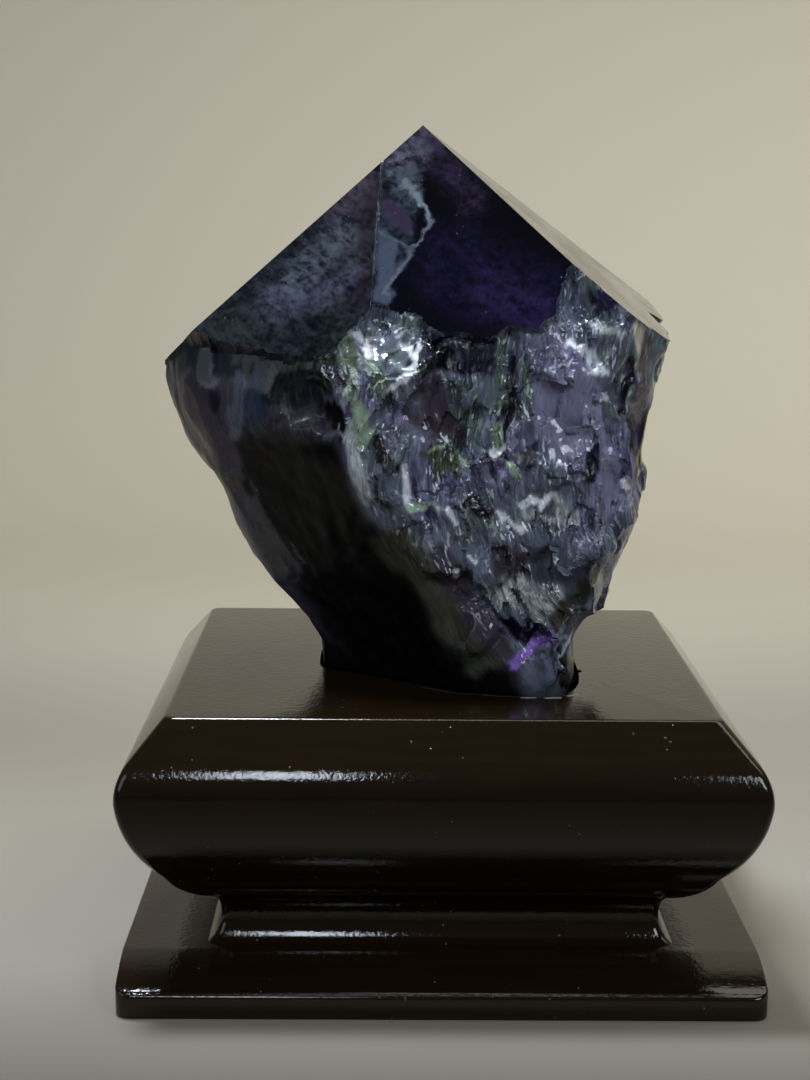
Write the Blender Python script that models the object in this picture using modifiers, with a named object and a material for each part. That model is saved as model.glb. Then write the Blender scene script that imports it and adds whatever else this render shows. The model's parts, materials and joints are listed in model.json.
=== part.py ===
"""Raw amethyst point with a polished tip, set in the socket of a square lacquered wooden stand.

Metres, +Z up. The origin is on the table, under the middle of the stand. The large polished face
looks towards -Y.
"""
import math
import random

import bmesh
import bpy
from mathutils import Matrix, Vector, noise
from mathutils.bvhtree import BVHTree

MM = 0.001
SEED = 7

# The stand, in millimetres: half-widths out from the centre line, and heights above the table.
TOP_Z = 29.7                 # flat top
TOP_HALF = 27.9              # arris round the flat top
SLOPE_END = (31.0, 26.1)     # the sloped shoulder ends here and the bullnose starts
NOSE_THROUGH = (32.2, 24.1)
NOSE = (32.55, 21.7)         # widest point of the bullnose
BELLY_THROUGH = (31.6, 18.0)
LIP_TOP = (28.45, 13.3)      # small step under the bullnose
LIP_NOTCH = (28.0, 12.7)
LIP_THROUGH = (26.6, 11.1)
UNDERSIDE = (23.9, 9.8)
NECK_TOP = (23.2, 9.1)
NECK_WAIST = (22.8, 7.3)
NECK_FOOT = (23.6, 5.1)
COVE_END = (24.6, 4.3)
BASE_HALF = 32.7
BASE_Z = 4.7
BASE_RIM_Z = 2.4             # height of the front and back rims
BASE_SLOPE_START = 25.3      # the fall towards the front and back rims starts this far out
BASE_SLOPE_THROUGH = (30.1, 3.55)
CORNER_ROUND = 1.6           # round of the base's upright corners
CORNER_STEPS = 4
MITRE_ROUND = 0.9            # round of the mitred corners of the moulding
MITRE_STEPS = 3
LEAST_MITRE_ANGLE = 0.2      # in radians; flatter edges on the diagonals are left alone
ARC_STEPS = 7

# The stone, in millimetres: height, then how far it reaches to the left (-X), to the right (+X),
# to the front (-Y) and to the back (+Y).
OUTLINES = (
    (21.5, 9.8, 11.5, 12.0, 8.6),
    (26.0, 11.4, 13.4, 14.6, 9.8),
    (29.7, 12.9, 15.0, 16.2, 11.0),
    (32.8, 13.2, 16.6, 17.0, 12.5),
    (36.7, 16.2, 18.8, 17.6, 14.5),
    (41.3, 20.6, 20.9, 18.2, 16.5),
    (45.5, 22.6, 22.6, 18.6, 18.0),
    (49.0, 24.0, 22.7, 19.0, 19.0),
    (51.2, 25.6, 22.3, 19.2, 19.6),
    (54.3, 28.4, 21.3, 19.3, 20.2),
    (57.0, 29.4, 22.2, 19.0, 20.6),
    (60.7, 31.0, 23.5, 18.4, 20.8),
    (63.8, 30.6, 23.9, 17.7, 20.6),
    (67.0, 29.6, 23.8, 17.0, 20.2),
    (70.0, 28.0, 23.5, 16.4, 19.8),
    (78.0, 26.0, 22.0, 16.0, 18.0),
    (92.0, 20.0, 18.0, 14.0, 15.0),
)
FOOT_Z = OUTLINES[0][0]      # flat underside of the stone, in its socket
SOCKET_GAP = 0.4             # clearance between the stone and its socket
SOCKET_CUTTER_RISE = 3.0     # of the socket's cutter above the stand's top
SOCKET_NICK = (16.2, -3.6, 29.0)
SOCKET_NICK_RADIUS = 1.9     # of the nick in the socket's edge, beside the stone
FRONT_LEAN = (0.3, 0.45)     # the front runs back towards the left and forward towards the right
SIDES = 76                   # points round one outline
FRONT_SHARE = 0.35           # how much closer together those points are on the front
RING_STEP = 1.9              # greatest height between two outlines of the mesh
SQUARENESS = (3.4, 2.5)      # of the outline at the foot and at the shoulder
SQUARE_FADE = (30.0, 46.0)   # heights between which the squareness changes
ROUGH_FADE = (30.0, 34.0)    # below this the foot is smooth enough to slide into its socket

# The broken surface, in millimetres. A size is across and up.
LUMP_SIZE = (8.0, 11.0)
LUMP_HEIGHT = 0.6
STREAK_SIZE = (2.6, 9.0)
STREAK_HEIGHT = 0.35
FLAKE_SIZE = (5.2, 7.5)
FLAKE_STEP = 1.2             # greatest step from one flake to the next
FLAKE_TILT = 2.4
FLAKE_SKEW = 0.35            # how far the flakes' edges wander, in flakes
JITTER = 0.3                 # sideways scatter of the mesh's points
BROKEN_SIDE = 0.25           # how broken the smooth left and back are, next to the right front
BROKEN_FADE = (0.0, 8.0)     # distances to the right over which the breakage grows
FLAT_COUNT = 16              # flat breaks all round the body
FLAT_TILT = (-0.5, 0.1)      # their lean, in radians
FLAT_DEPTH = (0.4, 1.0)      # how much of the farthest bulge they take

# Corners of the polished tip. Each polished face holds the tip and two neighbouring corners.
TIP = (-2.2, 0.0, 88.8)
CORNERS = (
    ("left", (-29.2, -11.1, 64.5)),
    ("ridge", (12.8, -14.7, 74.6)),
    ("right", (24.4, 8.0, 69.3)),
    ("back_right", (9.0, 20.0, 68.0)),
    ("back_left", (-14.0, 19.0, 66.0)),
    ("left_back", (-27.0, 7.0, 66.0)),
)
CRACK_TOP = (-6.7, -1.9, 84.7)
CRACK_FOOT = (-7.6, -12.4, 70.4)
CRACK_STEP = 0.35            # the face left of the crack stands proud by this much
CRACK_WIDTH = 0.5
CRACK_BLOCK = (60.0, 15.0, 84.0)     # size of its cutter: across, out and along
CRACK_RISE = 30.0            # the cutter starts this far above the crack's top

# Round hollows: name, centre of the hollow's ball and its radius, in millimetres.
HOLLOWS = (
    ("front_scoop", (-76.7, -102.2, 1.9), 119.6),
    ("back_hollow", (6.0, 34.0, 50.0), 17.0),
    ("back_left_hollow", (-26.0, 24.0, 44.0), 15.0),
)
LARGE_BALL = 30.0            # a ball with a larger radius gets more faces
LARGE_BALL_DETAIL = 6
BALL_DETAIL = 3

# Shards on the front, each an uneven faceted block: the x and z of its middle, its size across, up
# and out, in millimetres, and its lean in degrees.
RAISED_SHARDS = (
    (-5.4, 64.0, 9.6, 10.0, 2.6, -10),
    (-2.6, 65.0, 5.0, 7.0, 2.9, -34),
    (-8.0, 59.6, 4.2, 12.0, 1.6, 12),
    (-5.0, 53.4, 5.4, 9.0, 1.4, 28),
    (0.6, 49.6, 5.0, 8.0, 1.1, 34),
    (4.2, 63.4, 5.6, 9.0, 1.0, 6),
    (8.8, 61.6, 3.4, 12.0, 1.3, -4),
    (6.0, 45.0, 6.0, 9.0, 1.2, 34),
    (13.8, 45.0, 7.6, 7.4, 1.6, 24),
    (5.0, 37.4, 4.4, 10.0, 1.2, 36),
    (11.4, 39.0, 7.0, 5.6, 1.4, 50),
    (17.8, 56.4, 5.6, 11.0, 1.2, -8),
    (17.6, 49.0, 5.6, 8.0, 1.3, -14),
    (18.6, 65.6, 5.4, 7.0, 1.0, 20),
    (11.6, 33.0, 4.6, 6.0, 1.2, 38),
)
BROKEN_OUT_SHARDS = (
    (-14.6, 61.2, 10.0, 9.0, 1.6, 30),
    (-12.2, 58.6, 2.8, 4.4, 3.2, 10),
    (0.4, 57.8, 5.4, 9.0, 1.2, 0),
    (13.6, 60.6, 8.0, 9.4, 1.0, 10),
    (12.6, 51.4, 9.6, 4.4, 1.2, -8),
    (4.6, 54.6, 4.0, 8.0, 1.0, 24),
    (14.0, 71.0, 6.4, 8.0, 1.2, 30),
    (15.6, 65.0, 5.6, 4.0, 1.3, -34),
    (9.4, 35.6, 3.6, 5.0, 1.8, 34),
    (-3.4, 46.6, 3.0, 7.0, 0.8, 34),
)
SHARD_POINTS = 16            # points that a shard's hull is drawn round
IN_FRONT = -60.0             # a y well in front of the stone

MERGE = 0.01                 # points closer than this are one, in millimetres
CUT_TOLERANCE = 0.0000001    # in metres
NEAR = 0.1                   # edges off a line or a level by less than this count as on it
SPARE = 1.0                  # how far a cutting form reaches past what it trims

LACQUER = (0.018, 0.010, 0.006)
LACQUER_ROUGHNESS = 0.12
VIOLET = (0.055, 0.030, 0.110)
STONE_ROUGHNESS = 0.15
STONE_CLEARNESS = 0.6


# ---------------------------------------------------------------- scene and helpers

def clear_scene():
    for obj in list(bpy.data.objects):
        bpy.data.objects.remove(obj, do_unlink=True)


def new_collection(name):
    collection = bpy.data.collections.new(name)
    bpy.context.scene.collection.children.link(collection)
    return collection


def scaled(point):
    return Vector(point) * MM


def make_object(name, mesh, collection):
    obj = bpy.data.objects.new(name, mesh)
    collection.objects.link(obj)
    return obj


def mesh_from(bm, name):
    bmesh.ops.recalc_face_normals(bm, faces=bm.faces)
    mesh = bpy.data.meshes.new(name)
    bm.to_mesh(mesh)
    bm.free()
    return mesh


def make_cutter(name, bm, collection):
    cutter = make_object(name, mesh_from(bm, name), collection)
    cutter.hide_render = True
    cutter.display_type = "WIRE"
    return cutter


def combine(obj, other, operation):
    """Joins or cuts obj with other, and keeps the result as obj's mesh."""
    modifier = obj.modifiers.new(operation.lower(), "BOOLEAN")
    modifier.operation = operation
    modifier.solver = "EXACT"
    modifier.object = other
    bake_modifiers(obj)


def bake_modifiers(obj):
    bpy.context.view_layer.update()
    evaluated = obj.evaluated_get(bpy.context.evaluated_depsgraph_get())
    mesh = bpy.data.meshes.new_from_object(evaluated)
    obj.modifiers.clear()
    old = obj.data
    obj.data = mesh
    bpy.data.meshes.remove(old)


def keep_largest_piece(obj):
    """Drops loose chips and sealed pockets that the cuts leave, so that the solid is one body."""
    bm = bmesh.new()
    bm.from_mesh(obj.data)
    pieces = []
    unseen = set(bm.faces)
    while unseen:
        piece = set()
        waiting = [unseen.pop()]
        while waiting:
            face = waiting.pop()
            piece.add(face)
            linked = {other for edge in face.edges for other in edge.link_faces} & unseen
            unseen -= linked
            waiting.extend(linked)
        pieces.append(piece)
    largest = max(pieces, key=len)
    spare = [face for face in bm.faces if face not in largest]
    bmesh.ops.delete(bm, geom=spare, context="FACES")
    bm.to_mesh(obj.data)
    bm.free()


def make_material(name, color, roughness, transmission=0.0):
    material = bpy.data.materials.new(name)
    material.use_nodes = True
    shader = material.node_tree.nodes["Principled BSDF"]
    shader.inputs["Base Color"].default_value = (*color, 1.0)
    shader.inputs["Roughness"].default_value = roughness
    shader.inputs["Metallic"].default_value = 0.0
    shader.inputs["Transmission Weight"].default_value = transmission
    return material


def arc(start, through, end):
    """Points on the circle through three points, from just after start to end."""
    (x1, y1), (x2, y2), (x3, y3) = start, through, end
    d = 2 * (x1 * (y2 - y3) + x2 * (y3 - y1) + x3 * (y1 - y2))
    s1, s2, s3 = x1 * x1 + y1 * y1, x2 * x2 + y2 * y2, x3 * x3 + y3 * y3
    cx = (s1 * (y2 - y3) + s2 * (y3 - y1) + s3 * (y1 - y2)) / d
    cy = (s1 * (x3 - x2) + s2 * (x1 - x3) + s3 * (x2 - x1)) / d
    a1 = math.atan2(y1 - cy, x1 - cx)
    a3 = math.atan2(y3 - cy, x3 - cx)
    turn = math.remainder(a3 - a1, 2 * math.pi)
    radius = math.hypot(x1 - cx, y1 - cy)
    angles = [a1 + turn * i / ARC_STEPS for i in range(1, ARC_STEPS + 1)]
    return [(cx + radius * math.cos(a), cy + radius * math.sin(a)) for a in angles]


# ---------------------------------------------------------------- the stand

def moulding_profile():
    """Half-width and height down the moulded top block and the neck, in millimetres."""
    profile = [(0.0, TOP_Z), (TOP_HALF, TOP_Z), SLOPE_END]
    profile += arc(SLOPE_END, NOSE_THROUGH, NOSE)
    profile += arc(NOSE, BELLY_THROUGH, LIP_TOP)
    profile.append(LIP_NOTCH)
    profile += arc(LIP_NOTCH, LIP_THROUGH, UNDERSIDE)
    profile.append(NECK_TOP)
    profile += arc(NECK_TOP, NECK_WAIST, NECK_FOOT)
    profile += [COVE_END, (COVE_END[0], BASE_RIM_Z), (0.0, BASE_RIM_Z)]
    return profile


def make_moulded_block(collection):
    """The profile on a diagonal, turned round in four steps: a square moulding with mitred corners."""
    bm = bmesh.new()
    verts = [bm.verts.new((half * MM, half * MM, z * MM)) for half, z in moulding_profile()]
    for a, b in zip(verts, verts[1:]):
        bm.edges.new((a, b))
    block = make_object("stand", mesh_from(bm, "stand"), collection)
    screw = block.modifiers.new("turn", "SCREW")
    screw.steps = 4
    screw.render_steps = 4
    screw.use_merge_vertices = True
    screw.merge_threshold = MERGE * MM
    bake_modifiers(block)
    round_mitres(block.data)
    return block


def round_mitres(mesh):
    """Rounds the mitred corners, which are the edges that lie on the diagonals."""
    bm = bmesh.new()
    bm.from_mesh(mesh)
    bmesh.ops.remove_doubles(bm, verts=bm.verts, dist=MERGE * MM)
    bmesh.ops.recalc_face_normals(bm, faces=bm.faces)
    mitres = []
    for edge in bm.edges:
        middle = (edge.verts[0].co + edge.verts[1].co) / 2
        on_diagonal = abs(abs(middle.x) - abs(middle.y)) < NEAR * MM
        outside = middle.xy.length > NECK_WAIST[0] * MM / 2
        if on_diagonal and outside and edge.calc_face_angle(0.0) > LEAST_MITRE_ANGLE:
            mitres.append(edge)
    bmesh.ops.bevel(bm, geom=mitres, offset=MITRE_ROUND * MM, offset_type="OFFSET",
                    segments=MITRE_STEPS, profile=0.5, affect="EDGES", clamp_overlap=True)
    bm.to_mesh(mesh)
    bm.free()


def is_upright(edge):
    a, b = edge.verts[0].co, edge.verts[1].co
    return (a.xy - b.xy).length < NEAR * MM and abs(a.z - b.z) > NEAR * MM


def make_slab(collection):
    """A square slab with rounded upright corners, a little higher than the base."""
    height = BASE_Z + SPARE
    bm = bmesh.new()
    bmesh.ops.create_cube(bm, size=1.0)
    bmesh.ops.scale(bm, verts=bm.verts, vec=scaled((2 * BASE_HALF, 2 * BASE_HALF, height)))
    bmesh.ops.translate(bm, verts=bm.verts, vec=scaled((0, 0, height / 2)))
    uprights = [edge for edge in bm.edges if is_upright(edge)]
    bmesh.ops.bevel(bm, geom=uprights, offset=CORNER_ROUND * MM, offset_type="OFFSET",
                    segments=CORNER_STEPS, profile=0.5, affect="EDGES")
    return make_object("base_plate", mesh_from(bm, "base_plate"), collection)


def make_base_plate(collection, cutters):
    """The slab, with its top trimmed to fall gently to the front and back rims."""
    rise = [(BASE_HALF + SPARE, -SPARE), (BASE_HALF + SPARE, BASE_RIM_Z), (BASE_HALF, BASE_RIM_Z)]
    rise += arc(rise[-1], BASE_SLOPE_THROUGH, (BASE_SLOPE_START, BASE_Z))
    section = rise + [(-y, z) for y, z in reversed(rise)]
    bm = bmesh.new()
    verts = [bm.verts.new(scaled((-BASE_HALF - SPARE, y, z))) for y, z in section]
    end = bm.faces.new(verts)
    swept = bmesh.ops.extrude_face_region(bm, geom=[end])["geom"]
    moved = [item for item in swept if isinstance(item, bmesh.types.BMVert)]
    bmesh.ops.translate(bm, verts=moved, vec=scaled((2 * (BASE_HALF + SPARE), 0, 0)))
    plate = make_slab(collection)
    combine(plate, make_cutter("base_fall", bm, cutters), "INTERSECT")
    return plate


def make_stand(parts, cutters):
    stand = make_moulded_block(parts)
    plate = make_base_plate(parts, cutters)
    combine(stand, plate, "UNION")
    bpy.data.objects.remove(plate, do_unlink=True)
    form = stone_loft(grow=SOCKET_GAP, highest=TOP_Z + SOCKET_CUTTER_RISE)
    socket = make_cutter("socket", form, cutters)
    combine(stand, socket, "DIFFERENCE")
    combine(stand, make_ball("socket_nick", SOCKET_NICK, SOCKET_NICK_RADIUS, cutters), "DIFFERENCE")
    stand.data.materials.clear()
    stand.data.materials.append(make_material("lacquered_wood", LACQUER, LACQUER_ROUGHNESS))
    return stand


# ---------------------------------------------------------------- the stone

def fade(value, low, high):
    """0 below low, 1 above high, and smooth between."""
    t = min(max((value - low) / (high - low), 0.0), 1.0)
    return t * t * (3 - 2 * t)


def reach_at(z):
    """The stone's reach to the left, right, front and back at height z."""
    for low, high in zip(OUTLINES, OUTLINES[1:]):
        if z <= high[0]:
            t = max((z - low[0]) / (high[0] - low[0]), 0.0)
            return [a + (b - a) * t for a, b in zip(low[1:], high[1:])]
    return list(OUTLINES[-1][1:])


def outline_point(z, angle, grow):
    left, right, front, back = reach_at(z)
    power = SQUARENESS[0] + (SQUARENESS[1] - SQUARENESS[0]) * fade(z, *SQUARE_FADE)
    angle += FRONT_SHARE * math.cos(angle)
    c, s = math.cos(angle), math.sin(angle)
    x = math.copysign(abs(c) ** (2 / power), c) * ((right if c > 0 else left) + grow)
    y = math.copysign(abs(s) ** (2 / power), s) * ((back if s > 0 else front) + grow)
    if s < 0:
        y *= 1 + c * (FRONT_LEAN[1] if c > 0 else FRONT_LEAN[0])
    return Vector((x, y, z))


def ring_heights(lowest, highest):
    rows = [row[0] for row in OUTLINES]
    heights = []
    for low, high in zip(rows, rows[1:]):
        steps = math.ceil((high - low) / RING_STEP)
        heights += [low + (high - low) * i / steps for i in range(steps)]
    heights.append(rows[-1])
    inside = [z for z in heights if lowest < z < highest]
    return [lowest] + inside + [highest]


def stone_loft(grow=0.0, highest=OUTLINES[-1][0]):
    """The stone's main form, lofted between its outlines, as a closed bmesh in metres."""
    bm = bmesh.new()
    rings = []
    for z in ring_heights(FOOT_Z - grow, highest):
        angles = [2 * math.pi * i / SIDES for i in range(SIDES)]
        rings.append([bm.verts.new(outline_point(z, a, grow) * MM) for a in angles])
    for low, high in zip(rings, rings[1:]):
        for i in range(SIDES):
            j = (i + 1) % SIDES
            bm.faces.new((low[i], low[j], high[j], high[i]))
    bm.faces.new(list(reversed(rings[0])))
    bm.faces.new(rings[-1])
    return bm


def wander(place):
    """A smooth vector that changes from place to place, and is the same on every run."""
    shifts = (Vector((11.3, 0.0, 4.1)), Vector((0.0, 17.9, 8.7)), Vector((5.5, 2.3, 23.1)))
    return Vector([noise.noise(place + shift) for shift in shifts])


def stretched(p, size):
    """The place p measured in lumps that are size[0] across and size[1] high."""
    return Vector((p.x / size[0], p.y / size[0], p.z / size[1]))


def flake_height(p):
    """Height of a broken surface made of flat flakes, each tilted and set off by its own amount."""
    place = stretched(p, FLAKE_SIZE)
    place += FLAKE_SKEW * wander(place * 1.7)
    centre = noise.voronoi(place)[1][0]
    tilt = noise.cell_vector(centre * 13.7) - Vector((0.5, 0.5, 0.5))
    offset = noise.cell(centre * 7.3) - 0.5
    return FLAKE_STEP * offset + FLAKE_TILT * tilt.dot(place - centre)


def roughen(bm, random_source):
    """Breaks the surface up with upright streaks, lumps and small steps, above the socket."""
    bm.normal_update()
    moves = []
    for vert in bm.verts:
        p = vert.co / MM
        amount = fade(p.z, *ROUGH_FADE)
        if amount == 0.0 or len(vert.link_faces) != 4:
            moves.append(Vector())
            continue
        lumps = noise.fractal(stretched(p, LUMP_SIZE), 0.9, 2.0, 3)
        streaks = noise.noise(stretched(p, STREAK_SIZE))
        broken = BROKEN_SIDE + (1 - BROKEN_SIDE) * fade(p.x - p.y * 0.4, *BROKEN_FADE)
        height = LUMP_HEIGHT * lumps + STREAK_HEIGHT * streaks + broken * flake_height(p)
        jitter = Vector([random_source.uniform(-1, 1) for _ in range(3)]) * JITTER
        jitter -= vert.normal * jitter.dot(vert.normal)
        moves.append((vert.normal * height + jitter) * amount * MM)
    for vert, move in zip(bm.verts, moves):
        vert.co += move
    bmesh.ops.triangulate(bm, faces=[f for f in bm.faces if len(f.verts) == 4],
                          quad_method="SHORT_EDGE")


def slice_off(bm, point, normal):
    """Cuts away what lies beyond a plane, and closes the cut with one flat face."""
    geometry = list(bm.verts) + list(bm.edges) + list(bm.faces)
    cut = bmesh.ops.bisect_plane(bm, geom=geometry, dist=CUT_TOLERANCE, plane_co=point,
                                 plane_no=normal, clear_outer=True)["geom_cut"]
    edges = [item for item in cut if isinstance(item, bmesh.types.BMEdge)]
    if edges:
        bmesh.ops.holes_fill(bm, edges=edges, sides=0)


def break_flats(bm, random_source):
    """Flat breaks all round: each plane takes the last half millimetre or so of a bulge."""
    for _ in range(FLAT_COUNT):
        azimuth = random_source.uniform(0.0, 2 * math.pi)
        tilt = random_source.uniform(*FLAT_TILT)
        depth = random_source.uniform(*FLAT_DEPTH) * MM
        normal = Vector((math.cos(azimuth) * math.cos(tilt), math.sin(azimuth) * math.cos(tilt),
                         math.sin(tilt)))
        farthest = max((v.co for v in bm.verts), key=lambda p: p.dot(normal))
        slice_off(bm, farthest - normal * depth, normal)


def tip_normals():
    """The directions that the polished faces look in; the first is the large front face's."""
    edges = [scaled(place) - scaled(TIP) for _, place in CORNERS]
    normals = [first.cross(second).normalized() for first, second in zip(edges, edges[1:] + edges[:1])]
    return [normal if normal.z > 0 else -normal for normal in normals]


def polish_tip(bm):
    front, *others = tip_normals()
    slice_off(bm, scaled(TIP) + front * CRACK_STEP * MM, front)
    for normal in others:
        slice_off(bm, scaled(TIP), normal)


def make_crack_cutter(cutters):
    """A block that takes the front face right of the crack down by the step, with a groove at its edge."""
    normal = tip_normals()[0]
    along = (scaled(CRACK_FOOT) - scaled(CRACK_TOP)).normalized()
    across = normal.cross(along).normalized()
    if across.x < 0:
        across.negate()
    width, out, length = CRACK_BLOCK
    profile = [(0.0, 0.0), (CRACK_WIDTH * 0.4, -CRACK_WIDTH), (CRACK_WIDTH, 0.0), (width, 0.0),
               (width, out), (0.0, out)]
    start = scaled(CRACK_TOP) - along * CRACK_RISE * MM
    bm = bmesh.new()
    verts = [bm.verts.new(start + (across * u + normal * v) * MM) for u, v in profile]
    end = bm.faces.new(verts)
    swept = bmesh.ops.extrude_face_region(bm, geom=[end])["geom"]
    moved = [item for item in swept if isinstance(item, bmesh.types.BMVert)]
    bmesh.ops.translate(bm, verts=moved, vec=along * length * MM)
    return make_cutter("crack", bm, cutters)


def make_ball(name, centre, radius, cutters):
    bm = bmesh.new()
    detail = LARGE_BALL_DETAIL if radius > LARGE_BALL else BALL_DETAIL
    bmesh.ops.create_icosphere(bm, subdivisions=detail, radius=radius * MM)
    bmesh.ops.translate(bm, verts=bm.verts, vec=scaled(centre))
    return make_cutter(name, bm, cutters)


def surface_point(tree, x, z):
    """Where a line from the front meets the stone."""
    return tree.ray_cast(scaled((x, IN_FRONT, z)), Vector((0, 1, 0)))[0]


def tree_of(obj):
    return BVHTree.FromObject(obj, bpy.context.evaluated_depsgraph_get())


def shard(place, across, up, out, lean, random_source):
    """The hull of points scattered over a leaning ellipsoid, so its faces are flat and uneven."""
    bm = bmesh.new()
    for _ in range(SHARD_POINTS):
        spread = Vector([random_source.gauss(0.0, 1.0) for _ in range(3)]).normalized()
        bm.verts.new((spread.x * across / 2 * MM, spread.y * out * MM, spread.z * up / 2 * MM))
    hull = bmesh.ops.convex_hull(bm, input=bm.verts)
    spare = [item for item in hull["geom_interior"] + hull["geom_unused"]
             if isinstance(item, bmesh.types.BMVert)]
    bmesh.ops.delete(bm, geom=spare, context="VERTS")
    turn = Matrix.Rotation(math.radians(lean), 4, "Y")
    bmesh.ops.transform(bm, matrix=Matrix.Translation(place) @ turn, verts=bm.verts)
    return bm


def break_front(stone, cutters, random_source):
    for operation, rows in (("UNION", RAISED_SHARDS), ("DIFFERENCE", BROKEN_OUT_SHARDS)):
        tree = tree_of(stone)
        for index, (x, z, across, up, out, lean) in enumerate(rows):
            bm = shard(surface_point(tree, x, z), across, up, out, lean, random_source)
            combine(stone, make_cutter(f"{operation.lower()}_{index}", bm, cutters), operation)


def make_amethyst(parts, cutters):
    random_source = random.Random(SEED)
    bm = stone_loft()
    roughen(bm, random_source)
    polish_tip(bm)
    break_flats(bm, random_source)
    stone = make_object("amethyst", mesh_from(bm, "amethyst"), parts)
    for name, centre, radius in HOLLOWS:
        combine(stone, make_ball(name, centre, radius, cutters), "DIFFERENCE")
    break_front(stone, cutters, random_source)
    bm = bmesh.new()
    bm.from_mesh(stone.data)
    polish_tip(bm)
    bm.to_mesh(stone.data)
    bm.free()
    combine(stone, make_crack_cutter(cutters), "DIFFERENCE")
    keep_largest_piece(stone)
    stone.data.materials.clear()
    stone.data.materials.append(make_material("amethyst", VIOLET, STONE_ROUGHNESS, STONE_CLEARNESS))
    return stone


def main():
    clear_scene()
    parts = new_collection("amethyst_on_stand")
    cutters = new_collection("cutters")
    make_stand(parts, cutters)
    make_amethyst(parts, cutters)


main()
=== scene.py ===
"""The look of a polished-tip amethyst point, set in a square lacquered wooden stand."""
import json
import math

import bpy
from mathutils import Matrix, Vector, noise

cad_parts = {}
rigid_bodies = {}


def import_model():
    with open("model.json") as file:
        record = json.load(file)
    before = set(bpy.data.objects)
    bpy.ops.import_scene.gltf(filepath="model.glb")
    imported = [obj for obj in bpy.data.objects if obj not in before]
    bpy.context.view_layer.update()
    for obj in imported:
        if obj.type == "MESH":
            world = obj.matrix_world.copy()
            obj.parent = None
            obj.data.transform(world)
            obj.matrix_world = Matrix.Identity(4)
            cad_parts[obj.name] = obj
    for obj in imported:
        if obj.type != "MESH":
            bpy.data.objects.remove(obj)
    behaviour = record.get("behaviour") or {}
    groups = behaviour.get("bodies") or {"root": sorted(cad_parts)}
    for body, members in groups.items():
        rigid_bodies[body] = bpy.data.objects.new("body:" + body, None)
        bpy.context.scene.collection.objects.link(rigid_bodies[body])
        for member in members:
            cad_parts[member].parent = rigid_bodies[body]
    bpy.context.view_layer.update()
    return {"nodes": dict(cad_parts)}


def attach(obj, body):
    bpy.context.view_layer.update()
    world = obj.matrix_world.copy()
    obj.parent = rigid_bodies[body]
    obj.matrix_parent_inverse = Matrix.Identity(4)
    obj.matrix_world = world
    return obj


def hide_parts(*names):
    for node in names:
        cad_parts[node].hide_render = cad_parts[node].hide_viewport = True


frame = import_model()

MM = 0.001

# -------- the stand's sizes, in millimetres
TOP_Z = 29.7
TOP_HALF = 27.9
SLOPE_END = (31.0, 26.1)
NOSE_THROUGH = (32.2, 24.1)
NOSE = (32.55, 21.7)
BELLY_THROUGH = (31.6, 18.0)
LIP_TOP = (28.45, 13.3)
LIP_NOTCH = (28.0, 12.7)
LIP_THROUGH = (26.6, 11.1)
UNDERSIDE = (23.9, 9.8)
NECK_TOP = (23.2, 9.1)
NECK_WAIST = (22.8, 7.3)
NECK_FOOT = (23.6, 5.1)
COVE_END = (24.6, 4.3)
BASE_HALF = 32.7
BASE_Z = 4.7
BASE_RIM_Z = 2.4
BASE_SLOPE_START = 25.3
BASE_SLOPE_THROUGH = (30.1, 3.55)
CORNER_ROUND = 1.6
MITRE_ROUND = 0.9
ARRIS_ROUND = 0.5  # round of the edge between the flat top and the slope
FINE_ROUND = 0.25  # round of the other small edges
ARC_STEPS = 16
ROUND_STEPS = 5
SLOPE_STEPS = 12
SPARE = 1.0  # how far a raw slab or its cutter reaches beyond what is kept
SAME = 0.02  # two places nearer than this count as the same
MERGE = 0.001  # doubled points nearer than this become one
SOCKET_GAP = 0.4
SOCKET_GRAIN = 0.5
SOCKET_NICK = (14.9, -6.6, 29.5)
SOCKET_NICK_RADIUS = 0.9

# -------- the stone's sizes, in millimetres
TIP = (-2.2, 0.0, 88.8)
CORNERS = {
    "left": (-29.2, -11.1, 64.5),
    "ridge": (12.8, -14.7, 74.6),
    "right": (24.4, 8.0, 69.3),
    "back_right": (9.0, 20.0, 68.0),
    "back_left": (-14.0, 19.0, 66.0),
    "left_back": (-27.0, 7.0, 66.0),
}
# The lower edge of the large polished face, x and z.
FACE_EDGE = ((-29.3, 65.5), (-22.3, 64.9), (-15.9, 64.1), (-11.3, 64.9), (-10.2, 67.2), (-8.9, 68.2),
             (-7.2, 70.3), (-4.7, 69.2), (-2.3, 69.1), (-1.8, 68.1), (2.3, 66.9), (4.4, 66.9),
             (7.6, 67.7), (9.7, 67.8), (11.5, 68.9), (12.3, 70.8), (12.5, 74.5))
# Where the dark scoop at the lower left ends, x and z, from the top down.
SCOOP_EDGE = ((-13.0, 64.0), (-10.7, 57.0), (-9.1, 51.3), (-6.2, 45.0), (-3.1, 41.9), (3.6, 35.9),
              (7.2, 31.9), (9.0, 29.0))
# Smooth shell-shaped breaks on the front: x, z and radius.
SHELLS = ((-7.4, 65.0, 1.5), (-4.7, 64.6, 1.5), (14.0, 65.6, 1.8), (-1.0, 58.8, 3.4), (12.8, 60.0, 5.2),
          (10.8, 44.6, 2.8), (17.6, 52.6, 3.4), (6.5, 36.5, 2.2), (12.0, 33.6, 3.6), (-8.4, 65.0, 2.2),
          (-5.2, 64.6, 2.6), (15.8, 70.8, 2.0), (-8.6, 58.4, 2.0), (5.0, 62.0, 2.0), (-1.0, 40.0, 2.6),
          (2.5, 44.5, 2.2), (14.5, 41.0, 2.6))
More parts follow.
